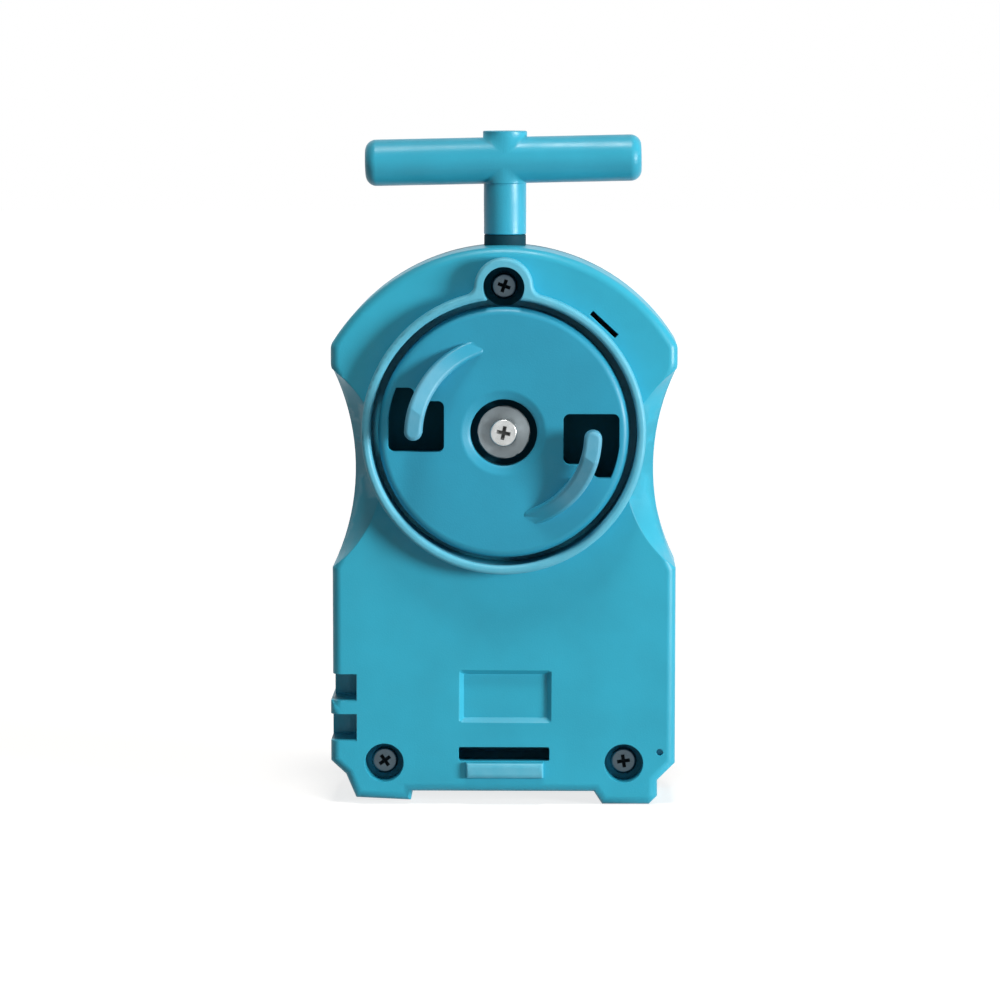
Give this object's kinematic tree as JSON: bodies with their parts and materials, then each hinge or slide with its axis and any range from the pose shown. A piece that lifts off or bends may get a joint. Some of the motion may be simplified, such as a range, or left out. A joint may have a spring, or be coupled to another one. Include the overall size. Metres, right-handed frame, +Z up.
{
  "type": "pull-cord line reel",
  "caption": "Hand-held pull-cord reel: flat two-part case, geared cord spool with a rewind spring, T-handle and a turning disc with two undercut hooks.",
  "frame": {"origin": "under the middle of the case's width and the whole depth, at the level of the right foot", "axes": "+Z up, from the feet to the T-handle; +Y from the hooked front to the plain back; +X to the right seen from the front"},
  "size_m": [0.0626, 0.03, 0.1216],
  "materials": {
    "case_plastic": "satin moulded ABS, sky blue",
    "disc_plastic": "satin moulded acetal, sky blue",
    "handle_plastic": "glossy moulded ABS, sky blue",
    "eyelet_nylon": "dark teal nylon",
    "screw_steel": "dull zinc-plated steel",
    "disc_screw_steel": "bright zinc-plated steel",
    "washer_steel": "grey passivated steel",
    "pin_steel": "ground steel",
    "bush_bronze": "oil-filled sintered bronze",
    "gear_acetal": "natural white acetal",
    "spring_steel": "blued spring steel",
    "cord_braid": "braided nylon cord"
  },
  "bodies": {
    "case": {"front_cover": "case_plastic", "rear_cover": "case_plastic", "case_screws": "screw_steel", "cord_eyelet": "eyelet_nylon", "spool_axle": "pin_steel", "idler_pin": "pin_steel", "output_bush": "bush_bronze", "rear_bush": "bush_bronze", "cord_run": "cord_braid"},
    "spool": {"cord_spool": "gear_acetal", "cord_winding": "cord_braid", "rewind_spring": "spring_steel", "spring_cover": "washer_steel", "spool_washer": "washer_steel"},
    "idler": {"idler_gear": "gear_acetal", "idler_washer": "washer_steel"},
    "disc": {"drive_disc": "disc_plastic", "output_shaft": "pin_steel", "output_gear": "gear_acetal", "disc_washer": "washer_steel", "disc_screw": "disc_screw_steel"},
    "roller": {"guide_roller": "gear_acetal"},
    "handle": {"pull_handle": "handle_plastic", "cord_knot": "cord_braid"}
  },
  "joints": [
    {"name": "disc_spin", "type": "hinge", "parent": "case", "child": "disc", "pos_m": [0, 0, 0.068], "axis": [0, -1, 0], "range_deg": [0, 5512.42], "stiffness_Nm_per_rad": 0.00004, "springref_deg": -1718.87},
    {"name": "spool_spin", "type": "hinge", "parent": "case", "child": "spool", "pos_m": [0, 0, 0.034], "axis": [0, -1, 0], "range_deg": [0, 1754.95], "deforming": ["rewind_spring"]},
    {"name": "idler_spin", "type": "hinge", "parent": "case", "child": "idler", "pos_m": [-0.00245, 0, 0.05707], "axis": [0, -1, 0], "range_deg": [-5513.42, 0]},
    {"name": "roller_spin", "type": "hinge", "parent": "case", "child": "roller", "pos_m": [0, 0, 0.094], "axis": [0, -1, 0], "range_deg": [0, 6969.41]},
    {"name": "handle_pull", "type": "slide", "parent": "case", "child": "handle", "axis": [0, 0, 1], "range_m": [0, 0.451], "deforming": ["cord_run"]}
  ],
  "couplings": [
    {"joint": "spool_spin", "follows": "disc_spin", "ratio": 0.31818},
    {"joint": "idler_spin", "follows": "disc_spin", "ratio": -1},
    {"joint": "roller_spin", "follows": "disc_spin", "ratio": 1.2641},
    {"joint": "handle_pull", "follows": "disc_spin", "m_per_rad": 0.0046773}
  ]
}
